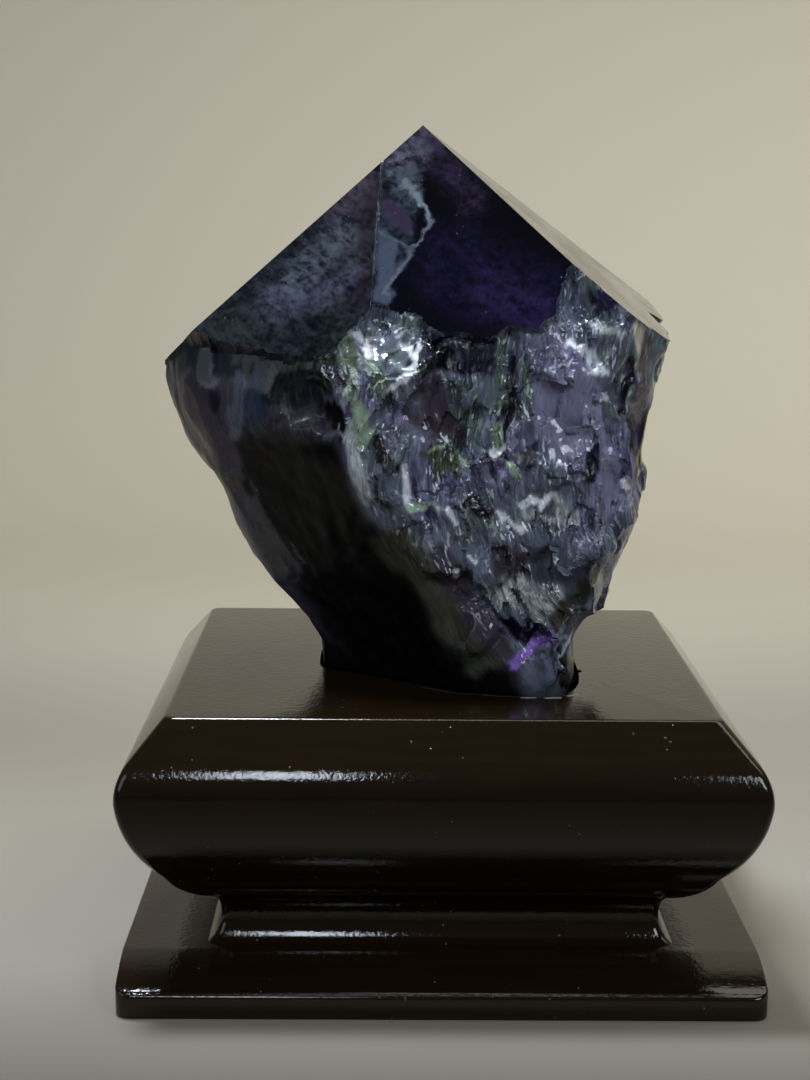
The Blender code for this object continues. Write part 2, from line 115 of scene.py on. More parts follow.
# Flakes of the broken surface: width and length, step between neighbours, and tilt.
LARGE_FLAKES = ((2.8, 7.0), 0.45, 0.9)
SMALL_FLAKES = (((1.2, 4.0), 0.13, 0.28), ((0.6, 2.0), 0.06, 0.10))
FLAKE_SWAY = 0.35  # how far the flakes' borders wander, as a share of their width
BLADE_HEIGHT = 0.6  # height of the long blades on the broken front
GRAIN_HEIGHT = 0.10  # slow swell of the whole surface
RIB_HEIGHT = 0.08  # fine ribs on the smoother flanks
LEDGE = (0.06, 0.74)  # step below the large face's lower edge: at its left, and how much more at its right
CRACK_TOP = (-6.7, -1.9, 84.7)
CRACK_FOOT = (-7.6, -12.4, 70.4)
CRACK_STEP = 0.35  # how far the face lies lower to the right of the crack
CRACK_WIDTH = 0.22
CRACK_DEPTH = 0.45
CRACK_LEAD = 30.0  # how far above the crack's top its cutters begin
CRACK_RUN = 44.5  # how far the groove's cutter reaches from there
STEP_BLOCK = (60.0, 15.0, 84.0)
TIP_BLOCK = 200.0  # edge of the cube that the polished planes are cut on, and its middle's height
TIP_BLOCK_Z = 20.0
VOXEL = 0.47  # grain of the stone's mesh before its front is refined
POLISH_REACH = 0.7  # a point this near a polished plane belongs to its face
POLISH_DEEP = 4.0  # the same for the large face, above its lower edge
POLISH_WIDE = 2.0  # the same for the other faces, high up
POLISH_SPARE = 1.6  # how far such points are raised before the plane is cut
SIDES_LOW_Z = 66.5  # below this the other faces' edges are left broken
SIDES_FULL_Z = 68.0  # above this the other faces meet in clean edges


# -------- helpers for meshes

def choose(obj):
    """Makes obj the only selected object, and the active one."""
    for other in bpy.context.selected_objects:
        other.select_set(False)
    obj.select_set(True)
    bpy.context.view_layer.objects.active = obj
    return obj


def newest(name):
    """The object that was added last, under its own name."""
    obj = bpy.context.active_object
    obj.name = name
    obj.data.name = name
    return obj


def edit(obj):
    choose(obj)
    bpy.ops.object.mode_set(mode="EDIT")


def leave_edit():
    bpy.ops.object.mode_set(mode="OBJECT")


def select_everything():
    bpy.ops.mesh.select_all(action="SELECT")


def pick(obj, kind, test):
    """In edit mode, selects only the edges or polygons whose points pass a test."""
    bpy.ops.mesh.select_all(action="DESELECT")
    bpy.ops.mesh.select_mode(type="EDGE" if kind == "edges" else "FACE")
    leave_edit()
    for element in getattr(obj.data, kind):
        element.select = test([obj.data.vertices[i] for i in element.vertices])
    edit(obj)


def face_outwards():
    """In edit mode, turns every face outwards."""
    select_everything()
    bpy.ops.mesh.normals_make_consistent(inside=False)


def draw_out(move, grow, centre):
    """In edit mode, extrudes what is selected by a move, and scales the new end about a centre."""
    bpy.ops.mesh.extrude_region_move(TRANSFORM_OT_translate={"value": move})
    bpy.ops.transform.resize(value=grow, center_override=centre)


def apply_modifier(obj, kind, **settings):
    choose(obj)
    modifier = obj.modifiers.new(kind.lower(), kind)
    for key, value in settings.items():
        setattr(modifier, key, value)
    bpy.ops.object.modifier_apply(modifier=modifier.name)


def bake_place(obj):
    choose(obj)
    bpy.ops.object.transform_apply(location=True, rotation=True, scale=True)


def delete(obj):
    bpy.data.objects.remove(obj, do_unlink=True)


def combine(obj, operation, other, solver="MANIFOLD"):
    """Changes obj by a Boolean with another solid, which is used up."""
    apply_modifier(obj, "BOOLEAN", operation=operation, solver=solver, object=other)
    delete(other)


def copy_of_node(node, name):
    """A free copy of a CAD node, with its loose triangles joined up."""
    source = frame["nodes"][node]
    copy = bpy.data.objects.new(name, source.data.copy())
    bpy.context.scene.collection.objects.link(copy)
    copy.data.materials.clear()
    edit(copy)
    select_everything()
    bpy.ops.mesh.remove_doubles(threshold=MERGE * MM)
    leave_edit()
    return copy


def arc(start, through, end, steps=ARC_STEPS):
    """Points on the circle through three points, from just after start to end."""
    (x1, y1), (x2, y2), (x3, y3) = start, through, end
    d = 2 * (x1 * (y2 - y3) + x2 * (y3 - y1) + x3 * (y1 - y2))
    s1, s2, s3 = x1 * x1 + y1 * y1, x2 * x2 + y2 * y2, x3 * x3 + y3 * y3
    cx = (s1 * (y2 - y3) + s2 * (y3 - y1) + s3 * (y1 - y2)) / d
    cy = (s1 * (x3 - x2) + s2 * (x1 - x3) + s3 * (x2 - x1)) / d
    a1 = math.atan2(y1 - cy, x1 - cx)
    turn = math.remainder(math.atan2(y3 - cy, x3 - cx) - a1, 2 * math.pi)
    radius = math.hypot(x1 - cx, y1 - cy)
    angles = [a1 + turn * i / steps for i in range(1, steps + 1)]
    return [(cx + radius * math.cos(a), cy + radius * math.sin(a)) for a in angles]


def rounded(before, corner, after, radius):
    """The corner between two straight runs, rounded with an arc."""
    corner, before, after = Vector(corner), Vector(before), Vector(after)
    one, two = (before - corner).normalized(), (after - corner).normalized()
    half = math.acos(max(-1.0, min(1.0, one.dot(two)))) / 2
    start, end = corner + one * radius / math.tan(half), corner + two * radius / math.tan(half)
    centre = corner + (one + two).normalized() * radius / math.sin(half)
    middle = centre + (corner - centre).normalized() * radius
    return [tuple(start)] + arc(tuple(start), tuple(middle), tuple(end), ROUND_STEPS)


def shade_by_angle(obj, degrees):
    choose(obj)
    bpy.ops.object.shade_smooth_by_angle(angle=math.radians(degrees))


def paint(obj, material):
    obj.data.materials.clear()
    obj.data.materials.append(material)


# -------- the stand

def moulding():
    """Half-width and height of the moulded block, from the neck's foot up to the flat top."""
    return [(COVE_END[0], BASE_RIM_Z), COVE_END, NECK_FOOT,
            *arc(NECK_FOOT, NECK_WAIST, NECK_TOP), UNDERSIDE,
            *arc(UNDERSIDE, LIP_THROUGH, LIP_NOTCH), LIP_TOP,
            *arc(LIP_TOP, BELLY_THROUGH, NOSE),
            *arc(NOSE, NOSE_THROUGH, SLOPE_END),
            *rounded(SLOPE_END, (TOP_HALF, TOP_Z), (0.0, TOP_Z), ARRIS_ROUND)]


def make_block():
    """The moulded block, drawn up from its foot step by step."""
    points = moulding()
    half, height = points[0]
    bpy.ops.mesh.primitive_plane_add(size=2 * half * MM, location=(0, 0, height * MM))
    block = newest("stand_block")
    bake_place(block)
    edit(block)
    select_everything()
    for next_half, next_height in points[1:]:
        grow = next_half / half
        draw_out((0, 0, (next_height - height) * MM), (grow, grow, 1), (0, 0, 0))
        half, height = next_half, next_height
    face_outwards()
    pick(block, "edges", is_mitre)
    bpy.ops.mesh.bevel(offset=MITRE_ROUND * MM, segments=5, affect="EDGES", clamp_overlap=True)
    leave_edit()
    return block


def is_mitre(ends):
    """Whether an edge climbs one of the block's four corners."""
    a, b = (end.co for end in ends)
    on_diagonal = abs(abs(a.x) - abs(a.y)) + abs(abs(b.x) - abs(b.y)) < SAME * MM
    one_corner = (a.x > 0) == (b.x > 0) and (a.y > 0) == (b.y > 0)
    return on_diagonal and one_corner


def make_plate():
    """The base: a slab with rounded upright corners, whose top falls to its front and back rims."""
    bpy.ops.mesh.primitive_cube_add(size=1.0, location=(0, 0, (BASE_Z + SPARE) / 2 * MM))
    slab = newest("stand_slab")
    slab.scale = (2 * BASE_HALF * MM, 2 * BASE_HALF * MM, (BASE_Z + SPARE) * MM)
    bake_place(slab)
    edit(slab)
    pick(slab, "edges", lambda ends: (ends[0].co.xy - ends[1].co.xy).length < SAME * MM)
    bpy.ops.mesh.bevel(offset=CORNER_ROUND * MM, segments=8, affect="EDGES")
    leave_edit()
    combine(slab, "INTERSECT", make_fall(), solver="EXACT")
    edit(slab)
    bpy.ops.mesh.select_mode(type="EDGE")
    bpy.ops.mesh.select_all(action="DESELECT")
    bpy.ops.mesh.edges_select_sharp(sharpness=math.radians(40))
    bpy.ops.mesh.bevel(offset=FINE_ROUND * MM, segments=3, affect="EDGES")
    leave_edit()
    return slab


def make_fall():
    """A form with the section of the base's top, drawn out from the front to the back."""
    rise = [(BASE_HALF + SPARE, BASE_RIM_Z), (BASE_HALF, BASE_RIM_Z)]
    rise += arc((BASE_HALF, BASE_RIM_Z), BASE_SLOPE_THROUGH, (BASE_SLOPE_START, BASE_Z), SLOPE_STEPS)
    section = [(-y, z) for y, z in rise] + rise[::-1]
    place, height = section[0]
    bpy.ops.mesh.primitive_plane_add(size=1.0, rotation=(math.pi / 2, 0, 0))
    fall = newest("fall")
    fall.scale = (2 * (BASE_HALF + SPARE) * MM, (height + SPARE) * MM, 1)
    fall.location = (0, place * MM, (height - SPARE) / 2 * MM)
    bake_place(fall)
    edit(fall)
    select_everything()
    for next_place, next_height in section[1:]:
        grow = (next_height + SPARE) / (height + SPARE)
        draw_out((0, (next_place - place) * MM, 0), (1, 1, grow), (0, 0, -SPARE * MM))
        place, height = next_place, next_height
    face_outwards()
    leave_edit()
    return fall


def make_stand():
    """The stand in one piece, with a socket cut to the stone's foot and a small nick in its rim."""
    stand = make_block()
    combine(stand, "UNION", make_plate())
    socket = copy_of_node("amethyst", "socket_cutter")
    apply_modifier(socket, "REMESH", mode="VOXEL", voxel_size=SOCKET_GRAIN * MM)
    apply_modifier(socket, "DISPLACE", strength=SOCKET_GAP * MM, mid_level=0.0)
    combine(stand, "DIFFERENCE", socket)
    bpy.ops.mesh.primitive_ico_sphere_add(subdivisions=3, radius=SOCKET_NICK_RADIUS * MM,
                                          location=Vector(SOCKET_NICK) * MM)
    nick = newest("nick_cutter")
    bake_place(nick)
    combine(stand, "DIFFERENCE", nick)
    stand.name = "lacquered_stand"
    shade_by_angle(stand, 30)
    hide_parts("stand")
    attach(stand, "root")
    return stand


# -------- the stone

def tip_planes():
    """A point and an outward direction for each polished face; the first is the large front face."""
    tip = Vector(TIP) * MM
    edges = [Vector(place) * MM - tip for place in CORNERS.values()]
    normals = [a.cross(b).normalized() for a, b in zip(edges, edges[1:] + edges[:1])]
    normals = [normal if normal.z > 0 else -normal for normal in normals]
    return [(tip + normal * (CRACK_STEP * MM if i == 0 else 0.0), normal)
            for i, normal in enumerate(normals)]


def fade(value, low, high):
    """0 up to low and 1 from high on, smooth between them."""
    t = min(max((value - low) / (high - low), 0.0), 1.0)
    return t * t * (3 - 2 * t)


def wander(place):
    """A smooth vector that changes from place to place, and is the same on every run."""
    shifts = (Vector((11.3, 0.0, 4.1)), Vector((0.0, 17.9, 8.7)), Vector((5.5, 2.3, 23.1)))
    return Vector([noise.noise(place + shift) for shift in shifts])


def flakes(p, size, step, tilt):
    """Height of a broken surface of flat flakes, each tilted and set off by its own amount."""
    place = grain_place(p, *size)
    place += FLAKE_SWAY * wander(place * 1.7)
    centre = noise.voronoi(place)[1][0]
    lean = noise.cell_vector(centre * 13.7) - Vector((0.5, 0.5, 0.5))
    return step * (noise.cell(centre * 7.3) - 0.5) + tilt * lean.dot(place - centre)


def grain_place(p, width, length):
    """A place measured in steps across the grain and along it."""
    return Vector((p.x / width, p.y / width, p.z / length))


def along_grain(p):
    """The place p shifted so that the stone's grain, which leans low on the stone, runs along z."""
    below = 46.0 - p.z
    lean = 0.35 * (below + math.sqrt(below * below + 16.0))
    sway = 1.6 * noise.noise(p / 8.0) + 0.5 * noise.noise(p / 2.6)
    return Vector((p.x - lean + sway, p.y, p.z))


def right_of_ridge(p):
    """How far a place on the front lies to the right of the dark scoop's edge, in millimetres."""
    for (x1, z1), (x2, z2) in zip(SCOOP_EDGE, SCOOP_EDGE[1:]):
        if p.z > z2 or (x2, z2) == SCOOP_EDGE[-1]:
            t = (p.z - z1) / (z2 - z1)
            return p.x - (x1 + (x2 - x1) * max(t, 0.0))


def facing_front(n):
    """1 where the surface faces the front, 0 where it faces the back."""
    return fade(-n.y, -0.1, 0.3)


def roughness_at(p, n):
    """How broken the surface is: 1 on the front right, little on the left flank and in the scoop."""
    front = facing_front(n)
    rough = front * fade(right_of_ridge(p), -0.5, 1.0 + 5.0 * (1.0 - fade(p.z, 46.0, 51.0)))
    rough = max(rough, 0.30 * fade(p.x, 12.0, 18.0), 0.35 * fade(n.y, 0.2, 0.5))
    rough *= 1.0 - 0.8 * front * fade(p.x, 11.5, 15.5) * (1.0 - fade(p.z, 42.0, 48.0))
    rough *= 1.0 - 0.7 * front * fade(p.x, 18.0, 21.0)
    return rough * fade(p.z, 31.0, 33.5)


def refine_front(stone):
    """Splits the mesh of the rough front right once more."""
    mesh = stone.data
    wanted = [roughness_at(v.co / MM, v.normal) > 0.3 and v.normal.y < 0.35 for v in mesh.vertices]
    edit(stone)
    pick(stone, "polygons", lambda corners: all(wanted[corner.index] for corner in corners))
    bpy.ops.mesh.subdivide(number_cuts=1, smoothness=0.0)
    leave_edit()


def face_edge(x):
    """The height of the large polished face's ragged lower edge; right of its end there is none."""
    for (x1, z1), (x2, z2) in zip(FACE_EDGE, FACE_EDGE[1:]):
        if x1 <= x < x2:
            return z1 + (z2 - z1) * (x - x1) / (x2 - x1)
    return FACE_EDGE[0][1] if x < FACE_EDGE[0][0] else math.inf


def polish_rise(p, n, planes):
    """How far a point of a polished face or edge is raised, so that the planes then cut it clean."""
    rise = Vector()
    q = p / MM + 0.35 * wander(p / MM / 1.1)
    point, normal = planes[0]
    depth = (point - p).dot(normal)
    beside = any((place - p).dot(side) < POLISH_REACH * MM and n.dot(side) > 0.5
                 for place, side in planes[1:])
    if (n.y < -0.15 or not beside) and q.z > face_edge(q.x) and depth < POLISH_DEEP * MM:
        rise += normal * (POLISH_SPARE * MM + max(depth, 0.0))
    # The faces' lower edges are left broken; higher up, what lies between two faces is raised too.
    reach, turn = POLISH_REACH, 0.35 if q.z > SIDES_LOW_Z else 0.8
    if q.z > SIDES_FULL_Z and n.y > -0.3:
        reach, turn = POLISH_WIDE, -0.2
    for place, side in planes[1:]:
        depth = (place - p).dot(side)
        if depth < reach * MM and n.dot(side) > turn:
            rise += side * (POLISH_SPARE * MM + max(depth, 0.0))
    return rise


def surface_height(p, n, face):
    """How far the worked surface stands out from the plain solid at a place, in millimetres."""
    rough = roughness_at(p, n)
    calm = smoothness(p)
    q = along_grain(p)
    height = GRAIN_HEIGHT * noise.fractal(q / 2.5, 0.9, 2.0, 3) * fade(p.z, 30.0, 32.0)
    if rough > 0.0:
        blades = abs(noise.noise(grain_place(q, 1.4, 8.0)))
        small = (1.0 - 0.75 * calm) * fade(noise.noise(q / 4.5), -0.35, 0.25)
        broken = BLADE_HEIGHT * (0.25 - blades) * (1.0 - 0.6 * calm) + flakes(q, *LARGE_FLAKES)
        for kind in SMALL_FLAKES:
            broken += small * flakes(q, *kind)
        height += rough * broken
    even = (1.0 - rough) * fade(p.z, 31.0, 34.0)
    if even > 0.0:
        height += even * RIB_HEIGHT * noise.noise(grain_place(q, 1.3, 9.0))
    point, normal = face
    if (point / MM - p).dot(normal) < 0.9 and n.dot(normal) > 0.5:
        ledge, more = LEDGE
        height -= (ledge + more * fade(p.x, -12.0, -10.0)) * fade(face_edge(p.x) - p.z, 0.0, 1.0)
    return height - taper(p)


def break_surface(stone, planes):
    """Works the plain solid into flakes and ribs, and raises what the polished planes will cut."""
    mesh = stone.data
    places = [v.co.copy() for v in mesh.vertices]
    normals = [v.normal.copy() for v in mesh.vertices]
    for vertex, place, normal in zip(mesh.vertices, places, normals):
        rise = polish_rise(place, normal, planes)
        if rise.length > 0.0:
            vertex.co = place + rise
        else:
            vertex.co = place + normal * surface_height(place / MM, normal, planes[0]) * MM


def smoothness(p):
    """1 in the middle of the glassy shell-shaped breaks of the front, 0 away from them."""
    if p.y > 4.0:
        return 0.0
    return max(1.0 - fade(math.hypot(p.x - x, p.z - z), 0.55 * size, 1.1 * size)
               for x, z, size in SHELLS)


def taper(p):
    """How far the stone's right side draws in low down, beyond the modelled solid."""
    side = fade(p.x, 9.0, 14.0)
    return side * ((0.3 + 1.0 * fade(p.z, 29.5, 34.0)) * (1.0 - fade(p.z, 40.0, 49.0))
                   + 0.5 * (1.0 - fade(abs(p.z - 56.5), 0.5, 4.5)))


def cut_tip(stone, planes):
    """Keeps only what lies inside the polished planes."""
    bpy.ops.mesh.primitive_cube_add(size=TIP_BLOCK * MM, location=(0, 0, TIP_BLOCK_Z * MM))
    block = newest("tip_cutter")
    edit(block)
    for point, normal in planes:
        select_everything()
        bpy.ops.mesh.bisect(plane_co=point, plane_no=normal, use_fill=True, clear_outer=True,
                            threshold=0.000001)
    leave_edit()
    combine(stone, "INTERSECT", block)


def cut_crack(stone, normal):
    """Takes the front face right of the crack down by a small step, with a groove at its edge."""
    top, foot = Vector(CRACK_TOP) * MM, Vector(CRACK_FOOT) * MM
    along = (foot - top).normalized()
    across = normal.cross(along).normalized()
    if across.x < 0:
        across.negate()
    turn = Matrix((across, normal, -along)).transposed().to_4x4()
    start = top - along * (CRACK_LEAD * MM)
    groove = (CRACK_WIDTH, STEP_BLOCK[1], CRACK_RUN)
    for block_size, depth in ((STEP_BLOCK, 0.0), (groove, CRACK_DEPTH * MM)):
        size = Vector([side * MM for side in block_size])
        bpy.ops.mesh.primitive_cube_add(size=1.0)
        block = newest("crack_cutter")
        centre = start + along * size.z / 2 + across * size.x / 2 + normal * (size.y / 2 - depth)
        block.matrix_world = Matrix.Translation(centre) @ turn @ Matrix.Diagonal((*size, 1.0))
        bake_place(block)
        edit(block)
        face_outwards()
        leave_edit()
        combine(stone, "DIFFERENCE", block)


def keep_largest(obj):
    """Drops the crumbs that the cuts leave loose beside the stone."""
    name = obj.name
    edit(obj)
    select_everything()
    bpy.ops.mesh.separate(type="LOOSE")
    leave_edit()
    parts = sorted((part for part in bpy.context.scene.objects if part.name.split(".")[0] == name),
                   key=lambda part: len(part.data.vertices))
    for part in parts[:-1]:
        delete(part)
    parts[-1].name = name
    return parts[-1]


def make_stone():
    """The stone: the plain solid made even, worked into a broken surface, and cut to its polish."""
    planes = tip_planes()
    stone = copy_of_node("amethyst", "amethyst_point")
    apply_modifier(stone, "REMESH", mode="VOXEL", voxel_size=VOXEL * MM)
    calm = stone.vertex_groups.new(name="calm")
    for vertex in stone.data.vertices:
        weight = 1.0 - 0.8 * roughness_at(vertex.co / MM, vertex.normal)
        if polish_rise(vertex.co, vertex.normal, planes).length > 0.0:
            weight = 0.0
        calm.add([vertex.index], weight, "REPLACE")
    apply_modifier(stone, "SMOOTH", factor=0.5, iterations=14, vertex_group="calm")
    stone.vertex_groups.clear()
    refine_front(stone)
    break_surface(stone, planes)
    cut_tip(stone, planes)
    cut_crack(stone, planes[0][1])
    stone = keep_largest(stone)
    mark_polish(stone, planes)
    paint_stone(stone)
    shade_by_angle(stone, 32)
    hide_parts("amethyst")
    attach(stone, "root")
    return stone


def mark_polish(stone, planes):
    """Stores on each face whether it is the large polished face or one of the other polished ones."""
    marks = {name: [0.0] * len(stone.data.polygons) for name in ("front", "side")}
    for face in stone.data.polygons:
        for index, (point, normal) in enumerate(planes):
            depth = (face.center - point).dot(normal)
            if face.normal.dot(normal) > 0.999 and -(CRACK_STEP + SAME) * MM < depth < SAME * MM:
                marks["side" if index else "front"][face.index] = 1.0
    for name, values in marks.items():
        stone.data.attributes.new(name, "FLOAT", "FACE").data.foreach_set("value", values)


# The colours of the broken surface, before light and grain darken them. The brightest tint and the warm
# pale one are painted highlights on chips; the darkest is painted shade in the scoop, at the foot and in
# pits.
TINTS = {
    "lilac": (134, 132, 160), "grey": (100, 106, 124), "pale": (176, 182, 182),
    "white": (236, 240, 246), "olive": (66, 64, 56), "slate": (42, 48, 52),
    "mint": (168, 188, 164), "moss": (128, 140, 126), "violet": (54, 47, 84), "mauve": (150, 112, 200),
    "plum": (72, 62, 76), "dusk": (74, 67, 82), "blue": (50, 60, 82), "night": (16, 13, 30),
    "black": (4, 4, 5), "cream": (206, 196, 172), "tan": (114, 107, 108),
}

# Patches and streaks of the broken surface: tint, x and z of both ends, half-width in millimetres, how
# milky the stone is there, and how much green fibre it holds, if any. The brightest and the warm pale
# streaks are painted highlights on chips; the darkest are painted shade in pits and in the gap at the
# foot.
STREAKS = (
    ("slate", -28.0, 63.6, -13.0, 63.4, 1.9, 0.75),
    ("dusk", -26.6, 60.0, -22.8, 53.0, 2.0, 0.55),
    ("violet", -24.1, 65.0, -24.2, 59.0, 0.5, 0.4),
    ("grey", -21.4, 62.0, -22.0, 55.4, 0.6, 0.6),
    ("blue", -19.3, 61.4, -19.8, 57.5, 1.0, 0.7, 0.1),
    ("plum", -22.3, 51.0, -15.7, 40.8, 0.9, 0.35),
    ("night", -17.0, 61.4, -13.0, 62.2, 1.9, 0.5, 0.2),
    ("slate", -18.0, 57.7, -13.5, 59.3, 0.2, 0.8),
    ("slate", -16.2, 63.8, -11.4, 64.6, 0.5, 0.7, 0.3),
    ("night", -2.4, 64.6, 2.0, 65.2, 1.3, 0.5, 0.3),
    ("plum", -2.5, 61.5, 0.6, 57.5, 2.1, 0.7),
    ("violet", -0.5, 66.2, 6.0, 64.6, 1.6, 0.45, 0.2),
    ("grey", 2.0, 62.0, 3.6, 57.0, 1.5, 0.75, 0.6),
    ("lilac", 11.7, 62.0, 14.2, 57.5, 3.4, 0.85),
    ("lilac", 13.0, 62.4, 14.8, 59.5, 1.6, 0.85),
    ("grey", 12.9, 71.6, 14.2, 66.8, 1.3, 0.9),
    ("grey", 9.1, 45.6, 11.7, 43.0, 2.0, 0.85),
    ("plum", 6.0, 44.6, 7.2, 43.0, 1.7, 0.7),
    ("lilac", 17.0, 54.4, 18.8, 50.0, 2.2, 0.85),
    ("pale", 7.0, 40.9, 10.6, 39.6, 1.9, 0.7),
    ("olive", -5.0, 45.6, 4.6, 34.0, 1.9, 0.75, 0.1),
    ("grey", -4.1, 49.7, -0.5, 44.4, 1.4, 0.85, 0.1),
    ("plum", -0.5, 44.4, 5.6, 35.0, 1.3, 0.8),
    ("grey", 10.2, 54.0, 12.0, 51.0, 1.3, 0.85, 0.6),
    ("grey", -8.4, 66.6, -5.0, 62.0, 2.6, 0.75, 0.35),
    ("moss", -10.2, 66.6, -9.4, 60.5, 0.8, 0.95, 0.4),
    ("moss", -7.2, 63.6, -6.0, 61.6, 0.6, 0.85, 0.2),
    ("mint", -8.9, 59.8, -8.3, 56.6, 0.8, 0.95, 0.5),
    ("pale", -9.8, 57.5, -8.1, 50.3, 0.7, 0.9, 0.2),
    ("night", -6.6, 55.6, -5.6, 53.9, 0.9, 0.3),
    ("grey", -6.8, 53.4, -6.2, 50.6, 0.9, 0.9, 0.3),
    ("white", -8.9, 67.0, -8.2, 66.0, 0.45, 1.0),
    ("white", -8.0, 65.4, -7.6, 64.8, 0.3, 1.0),
    ("white", -4.2, 66.0, -3.5, 65.4, 0.5, 1.0),
    ("white", -2.7, 65.9, -3.4, 63.6, 0.2, 1.0),
    ("white", -3.4, 63.6, -5.4, 61.6, 0.25, 0.9),
    ("black", -11.6, 59.4, -10.8, 57.8, 0.7, 1.0),
    ("white", -4.1, 53.6, -3.7, 50.3, 0.3, 0.95),
    ("mint", -3.6, 49.8, -0.8, 49.7, 0.3, 0.9, 0.4),
    ("olive", -1.0, 54.4, 1.0, 54.2, 1.0, 0.8, 0.5),
    ("mint", -1.6, 55.0, 0.6, 56.2, 0.12, 0.9, 0.2),
    ("mint", 0.6, 56.2, 2.2, 53.9, 0.12, 0.9, 0.2),
    ("grey", 5.9, 66.4, 5.4, 60.0, 0.5, 0.8, 1.0),
    ("mint", 5.5, 58.0, 5.2, 55.6, 0.4, 0.9, 1.0),
    ("white", 4.8, 55.4, 5.9, 55.8, 0.25, 1.0, 0.3),
    ("violet", 7.1, 64.6, 6.4, 59.6, 0.5, 0.3),
    ("grey", 8.1, 65.6, 8.6, 58.4, 0.5, 0.8, 0.9),
    ("mint", 6.8, 54.0, 7.4, 53.4, 0.5, 0.9, 0.9),
    ("violet", 8.9, 56.4, 8.7, 54.6, 0.5, 0.4),
    ("lilac", 10.6, 67.2, 14.4, 65.4, 1.1, 0.95),
    ("white", 12.6, 66.6, 14.8, 65.2, 0.4, 1.0),
    ("white", 14.8, 65.2, 16.1, 63.4, 0.55, 1.0),
    ("white", 16.2, 60.6, 16.4, 60.4, 0.25, 1.0),
    ("violet", 15.4, 70.8, 16.4, 69.6, 1.1, 0.5),
    ("pale", 15.0, 68.0, 17.6, 67.4, 0.4, 0.9),
    ("violet", 19.0, 64.4, 19.2, 62.8, 0.4, 0.4),
    ("cream", 19.6, 68.0, 20.2, 65.6, 0.5, 0.95),
    ("cream", 20.2, 65.6, 19.8, 64.0, 0.3, 0.95),
    ("tan", 20.8, 66.7, 20.0, 58.5, 0.6, 0.6),
    ("violet", 18.7, 62.4, 18.4, 59.4, 0.3, 0.3),
    ("violet", 15.3, 55.6, 14.8, 53.2, 0.7, 0.35),
    ("white", 18.8, 52.0, 19.4, 51.2, 0.25, 1.0),
    ("white", 8.2, 50.2, 10.4, 50.8, 0.5, 1.0),
    ("pale", 11.6, 50.8, 13.0, 49.2, 0.7, 1.0),
    ("pale", 8.6, 49.2, 13.2, 48.6, 0.5, 0.95),
    ("white", 5.4, 49.2, 7.8, 47.8, 0.35, 1.0),
    ("night", 3.0, 50.4, 4.4, 49.2, 0.7, 0.3),
    ("white", 0.4, 49.4, 1.2, 48.0, 0.2, 1.0),
    ("white", 2.6, 44.6, 3.4, 44.0, 0.15, 1.0),
    ("white", 1.3, 43.2, 1.5, 42.4, 0.22, 1.0),
    ("violet", 6.9, 37.2, 9.1, 35.8, 0.9, 0.3),
    ("mauve", 7.4, 32.8, 8.8, 34.2, 0.45, 0.9),
    ("mauve", 9.0, 34.0, 10.0, 35.6, 0.4, 0.9),
    ("mauve", 10.6, 35.6, 11.6, 36.6, 0.3, 0.9),
    ("pale", 12.2, 37.4, 13.0, 37.6, 0.3, 1.0),
    ("grey", 9.6, 31.6, 12.2, 34.0, 1.3, 0.9),
    ("olive", 12.0, 37.4, 15.6, 41.8, 0.9, 0.9),
    ("white", 12.6, 33.2, 14.0, 35.6, 0.14, 0.9),
    ("black", 12.9, 32.0, 13.6, 30.6, 0.9, 1.0),
)
STREAK_WAVER = 0.7  # how far the streaks' edges stray, as a share of their width
STREAK_BROAD = 1.2  # streaks wider than this stray in slow waves


def streak_share(p, x1, z1, x2, z2, width):
    """1 inside a streak, 0 outside it, with a soft edge between."""
    start, run = Vector((x1, z1)), Vector((x2 - x1, z2 - z1))
    place = Vector((p.x, p.z)) - start
    t = min(max(place.dot(run) / max(run.length_squared, 1e-6), 0.0), 1.0)
    return 1.0 - fade((place - run * t).length, width * 0.7, width * 1.25 + 0.15)


